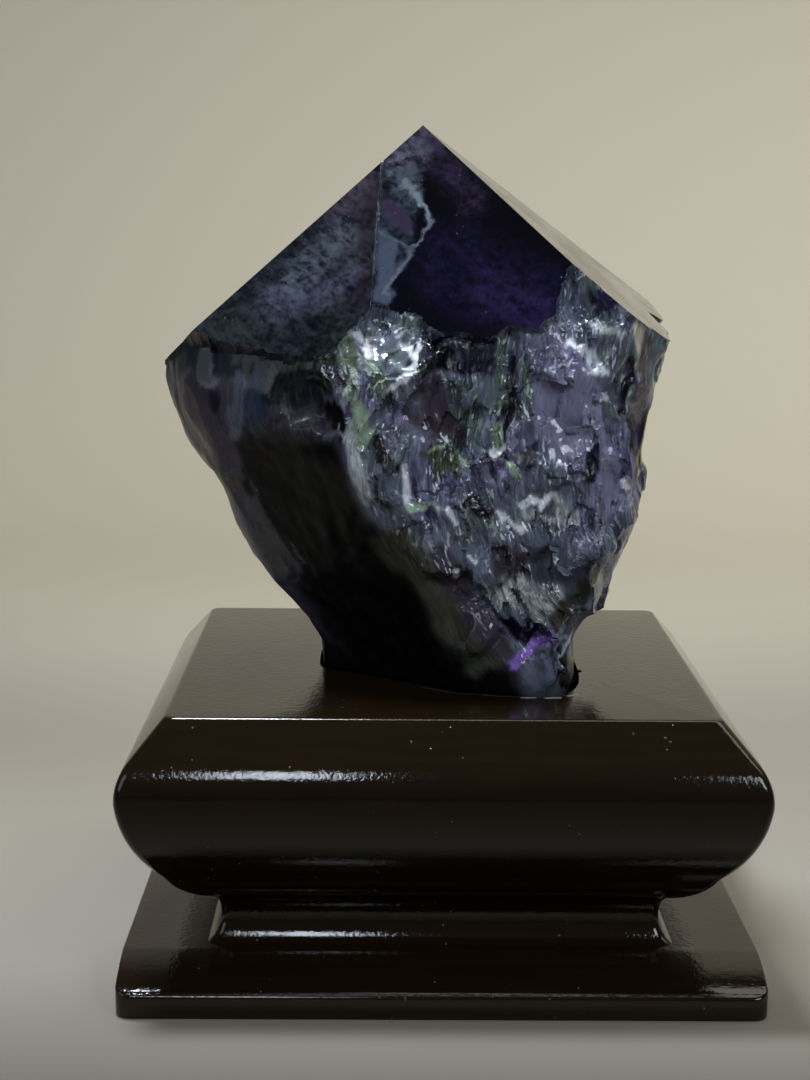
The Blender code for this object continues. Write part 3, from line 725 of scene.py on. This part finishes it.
def stone_tint(p, n):
    """The broken surface's tint, milkiness, green fibre, gloss and calm at a place."""
    q = along_grain(p)
    patch = noise.fractal(grain_place(q, 6.0, 11.0) + Vector((3.1, 0.0, 7.7)), 0.9, 2.0, 3)
    band = noise.noise(grain_place(q, 1.6, 10.0))
    rough = roughness_at(p, n)
    tint = Vector(TINTS["lilac"]).lerp(Vector(TINTS["grey"]), fade(patch, -0.4, 0.2))
    tint = tint.lerp(Vector(TINTS["violet"]), 0.8 * fade(-patch, 0.15, 0.5))
    green = 0.7 * fade(patch + 0.4 * band, 0.05, 0.4) * fade(p.z, 44.0, 50.0)
    milk = 0.5 + 0.25 * rough + 0.4 * patch + 0.3 * band
    front = facing_front(n)
    left = front * (1 - fade(right_of_ridge(p), -1.0, 0.5))
    tint = tint.lerp(Vector(TINTS["dusk"]), left)
    milk -= 0.1 * left
    rim = fade(-n.x, 0.35, 0.8)
    milk += (0.95 - milk) * rim
    # Painted shade: the scoop, which faces down and away from the light, and the foot down in the socket
    # are painted the darkest tint, fully milky and almost without gloss.
    low = 1 - fade(p.z, 44.0, 50.0)
    wave = 1.2 * noise.noise(p / 4.0) + 0.5 * noise.noise(p / 1.2)
    scoop = front * (1 - fade(right_of_ridge(p) + wave * low, -1.6, 0.2 + 3.5 * low))
    scoop *= 1 - fade(p.z + wave, 54.5, 58.5)
    scoop *= fade(p.x + (p.z - 40.0) * 0.62 + wave, -18.0, -14.0)
    foot = 1 - fade(p.z, 30.0, 37.0)
    dark = max(scoop, foot * (1 - 0.9 * front * fade(right_of_ridge(p), -1.0, 0.5)))
    tint = tint.lerp(Vector(TINTS["black"]), dark)
    milk += (1.0 - milk) * dark
    green *= (1.0 - dark) * (1.0 - 0.8 * left)
    gloss = (1.0 - 0.8 * max(left, rim)) * (1.0 - 0.95 * dark) * 0.8
    calm = 0.0
    if p.y < 2.0:
        fine = wander(grain_place(q, 0.9, 3.0))
        fine.z *= 2.0
        slow = wander(grain_place(q, 2.4, 6.0))
        for name, x1, z1, x2, z2, width, milkiness, *fibre in STREAKS:
            stray = STREAK_WAVER * (width + 0.2) * (slow if width > STREAK_BROAD else fine)
            share = streak_share(p + stray, x1, z1, x2, z2, width)
            if share > 0.0:
                tint = tint.lerp(Vector(TINTS[name]), share)
                milk += (milkiness - milk) * share
                green += (sum(fibre) - green) * share
                # Pits painted dark as shade lose their gloss.
                if name == "black":
                    gloss -= gloss * share
                # Chips painted bright as highlights are kept smooth.
                if name == "white":
                    calm = max(calm, share)
    return tint, min(max(milk, 0.0), 1.0), green, gloss, calm


def paint_stone(stone):
    """Stores the grain's coordinates and the looks of the broken surface on the stone's points."""
    mesh = stone.data
    grains, tints, looks = [], [], []
    for vertex in mesh.vertices:
        p, n = vertex.co / MM, vertex.normal
        tint, *shares, calm = stone_tint(p, n)
        back = fade(n.y, 0.1, 0.4) * fade(p.z, 28.0, 31.0)
        rough = max(0.06 + 0.94 * roughness_at(p, n), 0.6 * back)
        grains.extend(along_grain(p))
        tints.extend(color(*tint))
        looks.append((*shares, rough * (1 - 0.85 * max(smoothness(p), calm))))
    mesh.attributes.new("grain", "FLOAT_VECTOR", "POINT").data.foreach_set("vector", grains)
    mesh.attributes.new("tint", "FLOAT_COLOR", "POINT").data.foreach_set("color", tints)
    for name, values in zip(("milk", "green", "gloss", "rough"), zip(*looks)):
        mesh.attributes.new(name, "FLOAT", "POINT").data.foreach_set("value", values)


# -------- helpers for materials

def joined(operation, turned=False):
    """A method that puts a wire and another value through a Math node, in this order or turned."""
    def method(wire, other):
        return wire.math(operation, *((other, wire) if turned else (wire, other)))
    return method


class Wire:
    """One socket of a material's nodes, which Python's operators work on."""

    def __init__(self, recipe, socket):
        self.recipe = recipe
        self.socket = socket

    def math(self, operation, *values, clamp=False):
        return self.recipe.node("ShaderNodeMath", {"operation": operation, "use_clamp": clamp},
                                dict(enumerate(values)))

    __add__, __radd__ = joined("ADD"), joined("ADD", turned=True)
    __sub__, __rsub__ = joined("SUBTRACT"), joined("SUBTRACT", turned=True)
    __mul__, __rmul__ = joined("MULTIPLY"), joined("MULTIPLY", turned=True)
    __truediv__, most = joined("DIVIDE"), joined("MAXIMUM")

    def size(self):
        """The value without its sign."""
        return self.math("ABSOLUTE", self)

    def between(self, low, high):
        """0 at low and 1 at high, smooth between them; low may be the larger."""
        return self.recipe.node("ShaderNodeMapRange", {"interpolation_type": "SMOOTHSTEP"},
                                {"Value": self, "From Min": low, "From Max": high})


class Recipe:
    """A material, with short ways to add its nodes."""

    def __init__(self, name):
        self.material = bpy.data.materials.new(name)
        self.material.use_nodes = True
        self.tree = self.material.node_tree
        self.tree.nodes.clear()
        self.place = self.node("ShaderNodeTexCoord", {}, {}, "Object")

    def node(self, kind, settings, inputs, output=0):
        """Adds a node with its settings, then its inputs, and gives one of its outputs."""
        made = self.tree.nodes.new(kind)
        for key, value in settings.items():
            setattr(made, key, value)
        for key, value in inputs.items():
            socket = made.inputs[key]
            if isinstance(value, Wire):
                self.tree.links.new(value.socket, socket)
            else:
                socket.default_value = value
        return Wire(self, made.outputs[output])

    def axes(self, place=None):
        made = self.node("ShaderNodeSeparateXYZ", {}, {0: place or self.place})
        return [Wire(self, socket) for socket in made.socket.node.outputs]

    def attribute(self, name, output="Fac"):
        return self.node("ShaderNodeAttribute", {"attribute_name": name}, {}, output)

    def scaled(self, place, steps):
        """A place in millimetres, measured in the given steps."""
        return self.vectors("MULTIPLY", place, tuple(1.0 / step for step in steps))

    def stroke(self, place, start, end, width, soft):
        """1 along a line from start to end on the front, given in x and z millimetres, else 0."""
        start, end = Vector((start[0], 0.0, start[1])), Vector((end[0], 0.0, end[1]))
        run = end - start
        offset = self.vectors("SUBTRACT", place, tuple(start))
        along = self.vectors("DOT_PRODUCT", offset, tuple(run / run.length_squared), output="Value")
        along = along.math("ADD", along, 0.0, clamp=True)
        nearest = self.node("ShaderNodeVectorMath", {"operation": "SCALE"},
                            {0: tuple(run), "Scale": along})
        away = self.vectors("DISTANCE", offset, nearest, output="Value")
        return away.between(width + soft, width)

    def vector(self, x, y, z):
        return self.node("ShaderNodeCombineXYZ", {}, {0: x, 1: y, 2: z})

    def vectors(self, operation, *values, output=0):
        return self.node("ShaderNodeVectorMath", {"operation": operation},
                         dict(enumerate(values)), output)

    def shaded(self, tint, shade):
        """A colour made darker or brighter."""
        return self.vectors("MULTIPLY", tint, self.vector(shade, shade, shade))

    def stretched(self, *size, turn=(0.0, 0.0, 0.0)):
        """The place on the surface, turned, and measured in steps of one or three sizes."""
        steps = size if len(size) == 3 else size * 3
        turned = self.node("ShaderNodeMapping", {}, {"Vector": self.place, "Rotation": turn})
        return self.node("ShaderNodeMapping", {},
                         {"Vector": turned, "Scale": [1.0 / (step * MM) for step in steps]})

    def noise(self, place, detail=3.0, roughness=0.55, output=0):
        return self.node("ShaderNodeTexNoise", {}, {
            "Vector": place, "Scale": 1.0, "Detail": detail, "Roughness": roughness}, output)

    def cells(self, place):
        """Distance to the nearest cell centre, the cell's random colour, and its centre."""
        made = self.node("ShaderNodeTexVoronoi", {}, {"Vector": place, "Scale": 1.0})
        outputs = made.socket.node.outputs
        return [Wire(self, outputs[name]) for name in ("Distance", "Color", "Position")]

    def blend(self, factor, one, other):
        """A colour between two colours."""
        return self.node("ShaderNodeMix", {"data_type": "RGBA"}, {0: factor, 6: one, 7: other}, 2)

    def mix(self, factor, one, other):
        """One shader where the factor is 0, the other where it is 1."""
        return self.node("ShaderNodeMixShader", {}, {0: factor, 1: one, 2: other})

    def principled(self, **sockets):
        """A surface, whose sockets are named with _ for a space."""
        named = {name.replace("_", " "): value for name, value in sockets.items()}
        return self.node("ShaderNodeBsdfPrincipled", {}, named)

    def bump(self, height, distance, strength, normal=None):
        inputs = {"Height": height, "Distance": distance, "Strength": strength}
        if normal:
            inputs["Normal"] = normal
        return self.node("ShaderNodeBump", {}, inputs)

    def finish(self, surface, volume=None):
        output = self.tree.nodes.new("ShaderNodeOutputMaterial")
        self.tree.links.new(surface.socket, output.inputs["Surface"])
        if volume:
            self.tree.links.new(volume.socket, output.inputs["Volume"])
        return self.material


def color(red, green, blue):
    """A shader colour from red, green and blue as they look on a screen, 0 to 255."""
    def linear(part):
        part /= 255
        return part / 12.92 if part <= 0.04045 else ((part + 0.055) / 1.055) ** 2.4
    return (linear(red), linear(green), linear(blue), 1.0)


# -------- materials

QUARTZ_IOR = 1.544
LACQUER_IOR = 1.45
MIDDLE = (0.5, 0.5, 0.5)  # what a noise's or a cell's colour is on average

# Marks on the stand's flat top: colour, half-width, then the places each runs through, x and y.
GLUE = ((64, 53, 38), 0.12, ((-2.0, -14.5), (1.6, -17.1), (6.0, -18.3), (11.0, -18.8), (14.6, -17.0)))
BEADS = ((176, 168, 150), 0.20, ((8.4, -18.9), (9.6, -19.0)), ((11.0, -19.0), (12.2, -18.9)),
         ((13.4, -18.0), (14.4, -17.3)))
LINT = ((120, 114, 100), 0.08, ((-15.1, -16.3), (-14.1, -15.3), (-12.9, -16.8)))
SCRATCHES = ((84, 76, 64), 0.04, ((16.1, -12.7), (17.2, -16.0)), ((17.3, -11.4), (18.2, -14.4)),
             ((18.2, -10.0), (18.9, -12.4)))


def flat_place(r, across, up, stray, size, detail):
    """A place in millimetres, flattened to two axes, that strays in waves of a size."""
    flat = r.vector(across / MM, 0.0, up / MM)
    waver = r.noise(r.stretched(size), detail=detail, output="Color")
    waver = r.vectors("SUBTRACT", waver, MIDDLE)
    return r.vectors("ADD", flat, r.vectors("MULTIPLY", waver, (2 * stray, 0.0, 2 * stray)))


def specks(r, size, soft, small, low, high):
    """Small round specks, one to a cell, kept only in some patches."""
    dots = r.cells(r.stretched(size))[0].between(soft, small)
    return dots * r.noise(r.stretched(6.0)).between(low, high)


def top_marks(r):
    """The glue line at the stone's foot, with lint and scratches: their colour and their share."""
    x, y = r.axes()[:2]
    place = flat_place(r, x, y, 0.45, 1.2, 2.0)
    tint, total = color(0, 0, 0), 0.0
    for look, width, *lines in (GLUE, BEADS, LINT, SCRATCHES):
        share = 0.0
        for line in lines:
            for start, end in zip(line, line[1:]):
                share = r.stroke(place, start, end, width, width).most(share)
        tint = r.blend(share, tint, color(*look))
        total = share.most(total)
    return tint, total


def lacquer():
    """Dark brown lacquer with a faint grain, orange peel and dust, and the marks on its flat top."""
    r = Recipe("dark_lacquer")
    grain = r.noise(r.stretched(9.0, 0.8, 0.8), detail=4.0, roughness=0.6)
    peel = r.noise(r.stretched(0.6), roughness=0.6)
    speck = specks(r, 1.3, 0.10, 0.05, 0.48, 0.60)
    base = r.blend(grain, color(17, 10, 3), color(30, 20, 9))
    base = r.blend(speck * 0.35, base, color(130, 122, 108))
    bump = r.bump(peel, 0.00006, 0.45)
    bump = r.bump(speck, 0.00008, 0.6, bump)
    z = r.axes()[2]
    mark_tint, marks = top_marks(r)
    plain, marked = (
        r.principled(Base_Color=tint, Roughness=0.07 + dull * 0.3, IOR=LACQUER_IOR, Normal=bump)
        for tint, dull in ((base, speck), (r.blend(marks * 0.8, base, mark_tint), marks)))
    on_top = z.math("GREATER_THAN", z, (TOP_Z - 0.1) * MM)
    return r.finish(r.mix(on_top, plain, marked))


CLEAR_COLOR = (0.80, 0.74, 0.90, 1.0)  # the clear stone's surface
DEPTH_COLOR = (0.42, 0.16, 0.72, 1.0)  # what deep stone lets through
DEPTH_DENSITY = 400.0  # per metre


def facets(r, place):
    """Small flat facets, each leaning its own way: their height, and three numbers of their own."""
    own, centre = r.cells(place)[1:]
    lean = r.vectors("SUBTRACT", own, MIDDLE)
    height = r.vectors("DOT_PRODUCT", lean, r.vectors("SUBTRACT", place, centre), output="Value")
    return height, r.axes(own)


def broken_look(r):
    """The broken surface: flakes and fibres, each brighter or darker than its neighbours, with painted
    highlights as specks.
    """
    grain = r.attribute("grain", "Vector")
    milk, rough = r.attribute("milk"), r.attribute("rough")
    streak = r.noise(r.scaled(grain, (0.34, 0.34, 3.0)), detail=4.0, roughness=0.65)
    tilt, chip = facets(r, r.scaled(grain, (1.0, 1.0, 2.2)))
    fleck_tilt, fleck = facets(r, r.scaled(grain, (0.26, 0.26, 1.0)))
    cloud = r.noise(r.scaled(grain, (2.2, 2.2, 3.0)))
    comb = 0.75 + ((streak * 2.6 - 0.3).most(0.14) - 0.75) * (rough * 0.75 + 0.25)
    shade = (1.0 + (chip[0] - 0.55) * 0.8 * rough) * comb
    tint = r.shaded(r.attribute("tint", "Color"), shade)
    fibre = r.attribute("green") * (streak * 0.5 + cloud * 0.5).between(0.44, 0.56)
    tint = r.blend(fibre * 0.85, tint, r.blend(streak.between(0.38, 0.68), color(30, 46, 32),
                                               color(118, 146, 98)))
    # Painted highlights: bright bluish specks painted into the colour where small flecks and clouds line
    # up.
    painted_glint = fleck[0].between(0.80, 0.86) * (cloud + streak * 0.4).between(0.70, 0.80)
    painted_glint = painted_glint * (rough - 0.07).most(0.0) * milk
    tint = r.blend(painted_glint, tint, color(236, 242, 250))
    share = (milk + (chip[2] - 0.5) * 0.5 * rough + (streak - 0.5) * 0.6 * milk).between(0.25, 0.75)
    normal = r.bump(tilt * rough, 0.0006, 0.8)
    normal = r.bump(fleck_tilt * rough, 0.0003, 0.8, normal)
    normal = r.bump(streak * rough, 0.00025, 0.6, normal)
    roughness = 0.34 + (chip[1] * 0.2 - 0.22) * rough
    return stone_layers(r, share, tint, normal, roughness, roughness * 0.6, r.attribute("gloss"))


def stone_layers(r, share, tint, normal, milky_roughness, clear_roughness, gloss):
    """Clear quartz, with milky quartz over it where share says so."""
    clear = r.principled(Base_Color=CLEAR_COLOR, Roughness=clear_roughness, IOR=QUARTZ_IOR,
                         Transmission_Weight=1.0, Normal=normal)
    milky = r.principled(Base_Color=tint, Roughness=milky_roughness, IOR=QUARTZ_IOR,
                         Specular_IOR_Level=0.1, Normal=normal, Coat_Weight=gloss,
                         Coat_Roughness=0.07, Coat_IOR=QUARTZ_IOR)
    return r.mix(share, clear, milky)


POLISH = (0.05, 0.03, 1.0)  # roughness of milky and of clear stone, and gloss, where it is polished

# Clouds and veils under the large polished face: x and z of both ends, half-width, softness (all in
# millimetres), tint as it looks on a screen, and how milky.
CLOUDS = (
    ((-27.0, 66.0), (-11.5, 79.0), 3.0, 4.0, (44, 49, 55), 0.75),
    ((-25.6, 66.6), (-10.5, 67.4), 2.2, 2.6, (44, 52, 54), 0.75),
    ((-9.2, 70.5), (-8.2, 82.5), 1.4, 1.2, (50, 42, 52), 0.75),
    ((-17.4, 70.0), (-14.4, 71.6), 0.6, 2.4, (78, 80, 98), 0.75),
    ((-15.6, 72.2), (-11.0, 77.0), 0.4, 2.2, (84, 92, 102), 0.75),
    ((-12.6, 70.4), (-9.6, 73.8), 0.3, 1.6, (78, 80, 96), 0.7),
    ((-11.6, 79.6), (-8.4, 82.4), 0.4, 1.6, (78, 70, 84), 0.6),
    ((-4.8, 86.2), (-1.6, 87.6), 1.0, 2.0, (96, 88, 108), 0.75),
    ((-1.0, 86.0), (3.0, 81.0), 0.8, 2.4, (50, 40, 62), 0.6),
    ((-4.8, 83.8), (-3.0, 85.6), 0.8, 1.6, (86, 88, 100), 0.8),
    ((-5.6, 75.0), (-4.0, 82.6), 1.2, 1.1, (64, 73, 84), 0.85),
    ((-6.4, 71.0), (-5.8, 76.0), 0.6, 0.8, (66, 73, 90), 0.85),
    ((-6.0, 80.0), (-4.2, 78.4), 0.45, 0.8, (50, 42, 62), 0.8),
    ((-4.2, 82.6), (-2.7, 81.2), 0.1, 0.9, (94, 104, 110), 0.9),
    ((-2.9, 81.3), (-1.3, 78.4), 0.10, 0.45, (102, 112, 120), 0.95),
    ((-1.3, 78.4), (-3.6, 75.4), 0.03, 0.28, (94, 104, 114), 0.95),
    ((-3.6, 75.4), (-6.2, 71.2), 0.08, 0.40, (86, 95, 108), 0.9),
    ((-7.0, 77.7), (-3.2, 75.5), 0.02, 0.22, (78, 86, 98), 0.8),
    ((1.0, 74.0), (9.0, 70.2), 2.0, 5.0, (32, 24, 62), 0.5),
    ((5.0, 71.5), (9.0, 69.6), 0.6, 3.2, (48, 36, 78), 0.5),
)


def front_look(r):
    """The large polished face: veils and clouds in dark clear stone."""
    x, _, z = r.axes()
    place = flat_place(r, x, z, 0.9, 1.4, 3.0)
    smoke = r.noise(r.stretched(0.8), detail=8.0, roughness=0.75)
    wisp = r.noise(r.stretched(5.0, 1.4, 1.0, turn=(0.0, -0.7, 0.0)), detail=6.0, roughness=0.65)
    tint = color(10, 6, 26)
    milk = 0.15
    texture = (smoke * 0.6 + wisp * 0.6).between(0.38, 0.78)
    for start, end, width, soft, look, milkiness in CLOUDS:
        share = r.stroke(place, start, end, width, soft)
        if soft > 1.0:
            share = share * texture
        tint = r.blend(share, tint, color(*look))
        milk = milk + (milkiness - milk) * share
    tint = r.shaded(tint, 0.55 + smoke * 0.9)
    speck = specks(r, 0.9, 0.09, 0.04, 0.45, 0.6)
    tint = r.blend(speck * 0.7, tint, color(150, 150, 165))
    return stone_layers(r, milk.most(speck), tint, scratches(r), *POLISH)


def scratches(r):
    """The faint lines that polishing left."""
    scratch = r.noise(r.stretched(5.0, 0.12, 0.12, turn=(0.0, 0.6, 0.0)), detail=2.0)
    return r.bump(scratch, 0.00001, 0.25)


def side_look(r):
    """The other polished faces: cloudy, with paler veils."""
    cloud = r.noise(r.stretched(8.0, 8.0, 10.0), detail=8.0, roughness=0.6)
    smoke = r.noise(r.stretched(0.9, 0.9, 1.3), detail=6.0, roughness=0.7)
    veil = r.noise(r.stretched(3.0, 3.0, 6.0), detail=4.0, roughness=0.5)
    tint = r.blend(cloud.between(0.34, 0.68), color(20, 14, 42), color(56, 58, 70))
    tint = r.blend((veil - 0.5).size().between(0.03, 0.0) * (smoke * 0.6), tint, color(84, 90, 104))
    tint = r.shaded(tint, 0.5 + smoke)
    return stone_layers(r, cloud.between(0.36, 0.60) * 0.8, tint, scratches(r), *POLISH)


def amethyst():
    """Broken and polished surfaces over one clear depth."""
    r = Recipe("amethyst")
    polished = r.mix(r.attribute("front"), side_look(r), front_look(r))
    surface = r.mix(r.attribute("front") + r.attribute("side"), broken_look(r), polished)
    depth = r.node("ShaderNodeVolumeAbsorption", {}, {"Color": DEPTH_COLOR, "Density": DEPTH_DENSITY})
    return r.finish(surface, depth)


# -------- floor, light and camera

FLOOR_HALF = 1.2
WALL_Y = 0.42
WALL_TOP = 1.2
SWEEP = 0.16  # radius of the curve from the floor up to the wall
SWEEP_STEPS = 24


def make_stage():
    """A pale sweep: floor, curve and wall in one sheet."""
    bpy.ops.mesh.primitive_plane_add(size=2 * FLOOR_HALF, location=(0, WALL_Y - SWEEP - FLOOR_HALF, 0))
    sweep = newest("floor_and_wall")
    bake_place(sweep)
    edit(sweep)
    pick(sweep, "edges", lambda ends: all(end.co.y > WALL_Y - SWEEP - MM for end in ends))
    for i in range(SWEEP_STEPS):
        a, b = (math.pi / 2 * k / SWEEP_STEPS for k in (i, i + 1))
        move = (0, SWEEP * (math.sin(b) - math.sin(a)), SWEEP * (math.cos(a) - math.cos(b)))
        bpy.ops.mesh.extrude_region_move(TRANSFORM_OT_translate={"value": move})
    bpy.ops.mesh.extrude_region_move(TRANSFORM_OT_translate={"value": (0, 0, WALL_TOP)})
    leave_edit()
    shade_by_angle(sweep, 40)
    paint(sweep, sweep_with_painted_shade())


def sweep_with_painted_shade():
    """Matt paint with painted shade: darker in front of the stand and far out to both sides, where less
    light falls.
    """
    r = Recipe("pale_sweep")
    x, y = r.axes()[:2]
    # Painted shade: the floor in front of the stand is darker, and so are both far sides.
    tint = r.blend(y.between(-0.07, 0.0), color(84, 78, 70), color(152, 145, 132))
    tint = r.blend(y.between(0.06, 0.20), tint, color(205, 199, 184))
    tint = r.blend(x.size().between(0.24, 0.60), tint, color(140, 134, 123))
    return r.finish(r.principled(Base_Color=tint, Roughness=0.9, Specular_IOR_Level=0.1))


ROOM_COLOR = (0.9, 0.95, 1.0, 1.0)
ROOM_STRENGTH = 0.06
COOL = (0.80, 0.89, 1.0)
WARM = (1.0, 0.96, 0.88)
# Each lamp's name, place, what it points at, width and height (all in metres), power, tint, spread.
LIGHTS = (
    ("wall_light", (0.32, 0.12, 0.62), (0.27, 0.50, 0.12), (0.8, 0.35), 2.25, WARM, 140),
    ("key", (-0.070, -0.333, 0.317), (-0.020, -0.032, 0.025), (0.055, 0.10), 0.34, COOL, 180),
    ("overhead", (-0.09, 0.05, 0.50), (-0.01, -0.028, 0.03), (0.10, 0.09), 0.22, COOL, 50),
    ("right_front_fill", (0.30, -0.38, 0.32), (0.0, 0.0, 0.05), (0.20, 0.20), 1.1, COOL, 180),
    ("left_fill", (-0.45, -0.25, 0.28), (0.0, 0.0, 0.05), (0.30, 0.30), 0.45, COOL, 180),
)


def area_light(name, place, target, size, power, tint, spread):
    light = bpy.data.lights.new(name, "AREA")
    light.shape = "RECTANGLE"
    light.size, light.size_y = size
    light.energy = power
    light.color = tint
    light.spread = math.radians(spread)
    obj = bpy.data.objects.new(name, light)
    obj.location = place
    direction = Vector(target) - Vector(place)
    obj.rotation_euler = direction.to_track_quat("-Z", "Y").to_euler()
    bpy.context.scene.collection.objects.link(obj)


def make_light():
    world = bpy.data.worlds.new("dim_room")
    world.use_nodes = True
    room = world.node_tree.nodes["Background"].inputs
    room["Color"].default_value = ROOM_COLOR
    room["Strength"].default_value = ROOM_STRENGTH
    bpy.context.scene.world = world
    for light in LIGHTS:
        area_light(*light)


CAMERA_PITCH = 0.163  # down from level, in radians; yaw is to the right, roll lifts the right
CAMERA_YAW = 0.009
CAMERA_ROLL = 0.008
CAMERA_PLACE = (-5.77, -219.8, 79.29)
CAMERA_LENS = 66.1
CLIP_START = 0.01  # in metres


def make_camera():
    data = bpy.data.cameras.new("camera")
    data.lens = CAMERA_LENS
    data.clip_start = CLIP_START
    camera = bpy.data.objects.new("camera", data)
    turn = (Matrix.Rotation(-CAMERA_YAW, 4, "Z")
            @ Matrix.Rotation(math.pi / 2 - CAMERA_PITCH, 4, "X")
            @ Matrix.Rotation(CAMERA_ROLL, 4, "Z"))
    camera.matrix_world = Matrix.Translation(Vector(CAMERA_PLACE) * MM) @ turn
    bpy.context.scene.collection.objects.link(camera)
    bpy.context.scene.camera = camera


# -------- the whole

make_camera()
make_stage()
make_light()
bpy.context.scene.view_settings.view_transform = "Standard"
paint(make_stand(), lacquer())
paint(make_stone(), amethyst())
